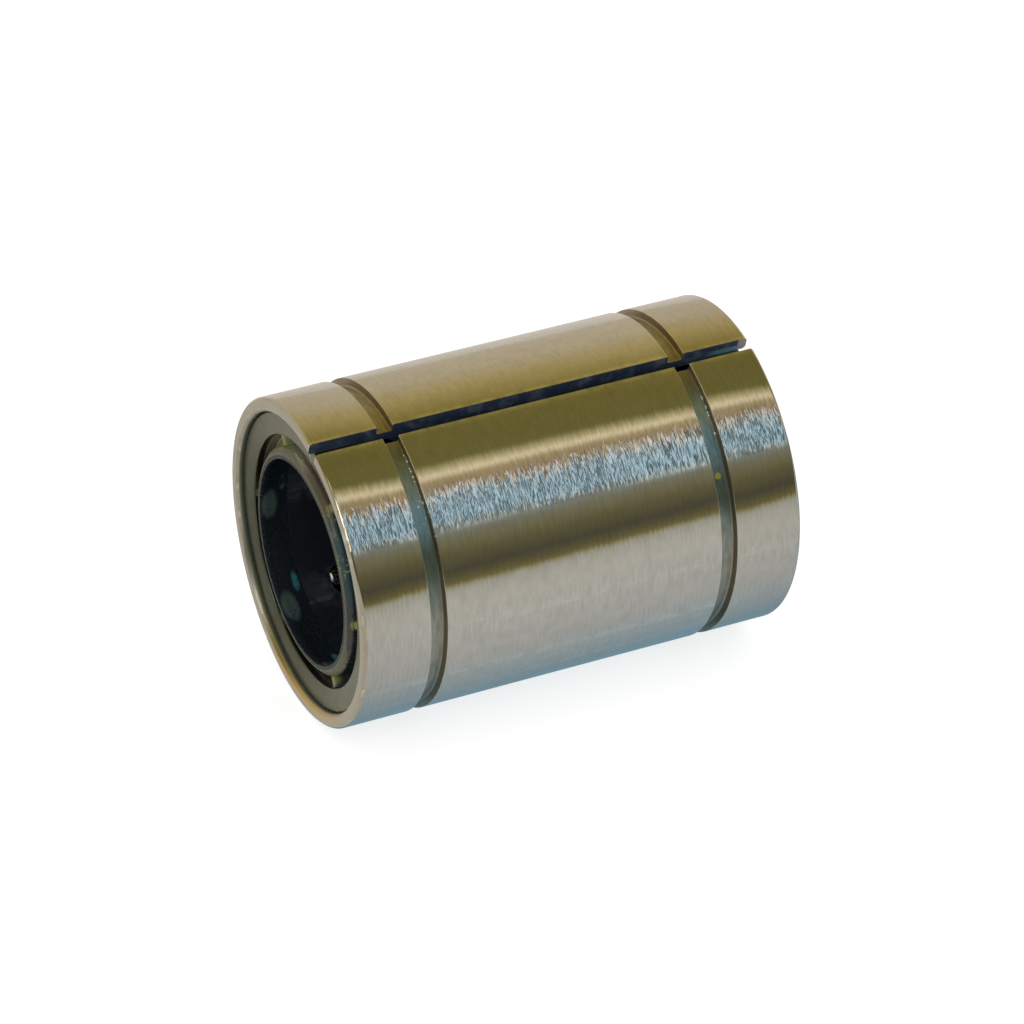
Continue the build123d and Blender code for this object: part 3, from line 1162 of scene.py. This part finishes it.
def markTurnedFaces(mesh):
    # only the lands, the chamfers and the end faces are ground, and the slit gets its own finish with
    # painted shade
    near, past = sleeve["finishSlack"], sleeve["grooveSlack"]
    groundFrom = sleeve["recess"] - near
    grooveOuter = sleeve["grooveSpan"] / 2
    grooveInner = grooveOuter - sleeve["grooveWidth"]
    landFrom = outerRadius - near
    towards, aside = slitDirections()
    for face in mesh.polygons:
        centre = face.center
        radius = math.hypot(centre.y, centre.z)
        inGroove = grooveInner - past < abs(centre.x) < grooveOuter + past
        deep = endFace - abs(centre.x) > sleeve["mouthChamfer"] and radius < groundFrom + past
        turned = radius < groundFrom or deep or (inGroove and radius < landFrom)
        acrossSlit = abs(face.normal.dot(aside)) > 0.9 and abs(centre.dot(aside)) < sleeve["slitWidth"]
        inSlit = acrossSlit and centre.dot(towards) > 0
        face.material_index = 2 if inSlit else 1 if turned else 0


# Ball retainer

retainer = {
    "bore": 10.3 * mm,
    "outside": 13.05 * mm,
    "chamfer": 0.3 * mm,
    "rounding": 0.1 * mm,
    "laneSteps": 14,  # round each quarter of a lane's bottom
}


def drawLane(bm):
    # a closed racetrack with a rounded bottom, open outwards
    before = set(bm.verts)
    top = 2 * circuit["ballRadius"]
    side = laneRadius
    corners = ((-side, -side), (side, -side), (side, top), (-side, top))
    verts = [bm.verts.new((-rowLength / 2, y, z)) for y, z in corners]
    bm.faces.new(verts)
    roundCorners(bm, verts[:2], side * 0.999, retainer["laneSteps"])
    face = [found for found in bm.faces if not set(found.verts) & before][0]
    ring, rim = list(face.verts), list(face.edges)
    bmesh.ops.delete(bm, geom=[face], context="FACES_ONLY")
    bmesh.ops.translate(bm, verts=ring, vec=(0, turnRadius, 0))
    last = straightRun(bm, ring + rim, rowLength)
    last = halfTurn(bm, last, 1)
    last = straightRun(bm, last, -rowLength)
    halfTurn(bm, last, -1)
    fresh = [vert for vert in bm.verts if vert not in before]
    bmesh.ops.remove_doubles(bm, verts=fresh, dist=1e-6)


def makeRetainer(finish):
    bm = bmesh.new()
    bore, outside = retainer["bore"], retainer["outside"]
    chamfer, rounding = retainer["chamfer"], retainer["rounding"]
    front = [
        (-retainerEnd, bore, rounding),
        (-retainerEnd, outside - chamfer, rounding),
        (-retainerEnd + chamfer, outside, rounding),
    ]
    turnedFully(bm, bothEnds(front))
    piece = finished(bm, "ballRetainer", [finish])
    cutBy(piece, circuitCutter("laneCutter", drawLane))
    dress(piece, shell, "retainer_plastic", "ball_retainer")


# End rings

ends = {"front": -1, "rear": 1}

endRing = {
    "outside": 14.58 * mm,
    "outerDepth": 0.55 * mm,
    "innerDepth": 0.85 * mm,
    "plateInner": 12.28 * mm,
    "thickness": 0.75 * mm,
    "skirtInner": 13.83 * mm,
    "back": 4.08 * mm,
    "outerRounding": 0.35 * mm,
    "rounding": 0.15 * mm,
}


def makeEndRing(end, side, finish):
    bm = bmesh.new()
    inner, rounding = endRing["plateInner"], endRing["rounding"]
    plateBack = endRing["innerDepth"] + endRing["thickness"]
    corners = [
        (endRing["outerDepth"], endRing["outside"], endRing["outerRounding"]),
        (endRing["innerDepth"], inner, rounding),
        (plateBack, inner, rounding / 2),
        (plateBack, endRing["skirtInner"], rounding),
        (endRing["back"], endRing["skirtInner"], rounding / 2),
        (endRing["back"], endRing["outside"], rounding / 2),
    ]
    turnedAtEnd(bm, side, corners)
    piece = finished(bm, end + "EndRing", [finish])
    dress(piece, shell, "end_ring_steel", end + "_end_ring")


# Seals

seal = {
    "lipFace": 0.48 * mm,  # depths below the sleeve's end
    "landEnd": 1.28 * mm,
    "relief": 0.2 * mm,
    "lipCrown": 10.5 * mm,
    "lipOuter": 11.1 * mm,
    "bevelDepth": 0.5 * mm,
    "lipRounding": 0.18 * mm,
    "trough": 2.6 * mm,
    "troughOuter": 12.28 * mm,
    "ribCrest": 1.25 * mm,
    "ribReach": 12.26 * mm,
    "ribHalfWidth": 4.6,  # degrees, from the crest to the trough's floor
    "ribFlat": 1.6,
    "front": 1.62 * mm,
    "outside": 13.81 * mm,
    "back": 3.4 * mm,
    "fillet": 0.25 * mm,
    "boreRounding": 0.05 * mm,
    "landRounding": 0.06 * mm,
    "rounding": 0.1 * mm,
    "floorRise": 0.3 * mm,  # the fillets' part of the trough's floor
    "slack": 0.01 * mm,
    "steps": 720,
    "sharpFrom": 50,
}


def makeSeal(end, side, finish):
    bm = bmesh.new()
    bore = shaftRadius + seal["relief"]
    fillet, rounding = seal["fillet"], seal["rounding"]
    corners = [
        (seal["lipFace"], shaftRadius, seal["boreRounding"]),
        (seal["lipFace"], seal["lipCrown"], seal["lipRounding"]),
        (seal["lipFace"] + seal["bevelDepth"], seal["lipOuter"], seal["lipRounding"]),
        (seal["trough"], seal["lipOuter"], fillet),
        (seal["trough"], seal["troughOuter"], fillet),
        (seal["front"], seal["troughOuter"], seal["landRounding"]),
        (seal["front"], seal["outside"], rounding),
        (seal["back"], seal["outside"], rounding),
        (seal["back"], bore, seal["boreRounding"]),
        (seal["landEnd"] + seal["relief"], bore, 0),
        (seal["landEnd"], shaftRadius, 0),
    ]
    turnedAtEnd(bm, side, corners, seal["steps"])
    for vert in bm.verts:
        raiseRib(vert, side)
    bmesh.ops.recalc_face_normals(bm, faces=bm.faces)
    piece = finished(bm, end + "Seal", [finish], seal["sharpFrom"])
    dress(piece, shell, "seal_rubber", end + "_seal")


def raiseRib(vert, side):
    # the trough's floor swells to a rib over each loaded row
    radius = math.hypot(vert.co.y, vert.co.z)
    depth = endFace - side * vert.co.x
    slack = seal["slack"]
    inTrough = seal["lipOuter"] + slack < radius < seal["troughOuter"] + slack
    if not inTrough or depth < seal["trough"] - seal["floorRise"] or depth > seal["trough"] + slack:
        return
    spacing = 360 / circuit["count"]
    angle = math.degrees(math.atan2(vert.co.z, vert.co.y)) - circuit["firstRow"]
    offCrest = abs((angle + spacing / 2) % spacing - spacing / 2)
    share = (seal["ribHalfWidth"] - offCrest) / (seal["ribHalfWidth"] - seal["ribFlat"])
    share = min(1, max(0, share))
    lift = share * share * (3 - 2 * share)
    depth += (seal["ribCrest"] - seal["trough"]) * lift
    inset = min(radius, seal["ribReach"]) / radius
    reach = 1 + (inset - 1) * lift
    vert.co = Vector((side * (endFace - depth), vert.co.y * reach, vert.co.z * reach))


# Balls

def makeBalls(name, number, places, finish):
    bm = bmesh.new()
    matrix = circuitMatrix(number)
    for x, y in places:
        centre = Matrix.Translation(matrix @ Vector((x, y, 0)))
        bmesh.ops.create_uvsphere(
            bm, u_segments=circuit["ballSegments"], v_segments=circuit["ballSegments"] // 2,
            radius=circuit["ballRadius"], matrix=centre,
        )
    node = f"{name}_{number}"
    piece = finished(bm, node, [finish], circuit["ballSharpFrom"])
    dress(piece, node, "ball_steel", node)


def makeCircuit(number, finish):
    loaded = [(-rowLength / 2 + place * ballPitch, turnRadius) for place in range(circuit["rowBalls"])]
    rearTurn = [(rowLength / 2, turnRadius), (rowLength / 2 + turnRadius, 0)]
    makeBalls("loaded_balls", number, loaded, finish)
    makeBalls("rear_turn_balls", number, rearTurn, finish)
    makeBalls("return_balls", number, [(-x, -y) for x, y in loaded], finish)
    makeBalls("front_turn_balls", number, [(-x, -y) for x, y in rearTurn], finish)


makeSleeve(makeGroundSteel(groundSteel), makeTurnedSteel(turnedSteel), makeSlitSteel(slitSteel))
print("sleeve made")
makeRetainer(makeRetainerPlastic(plastic))
print("retainer made")
ringFinish = makeRingSteel(ringSteel)
sealFinish = makeSealRubber(rubber)
for end, side in ends.items():
    makeEndRing(end, side, ringFinish)
    makeSeal(end, side, sealFinish)
print("end rings and seals made")
ballFinish = makeBallSteel(ballSteel)
for number in range(1, circuit["count"] + 1):
    makeCircuit(number, ballFinish)
print("balls made")
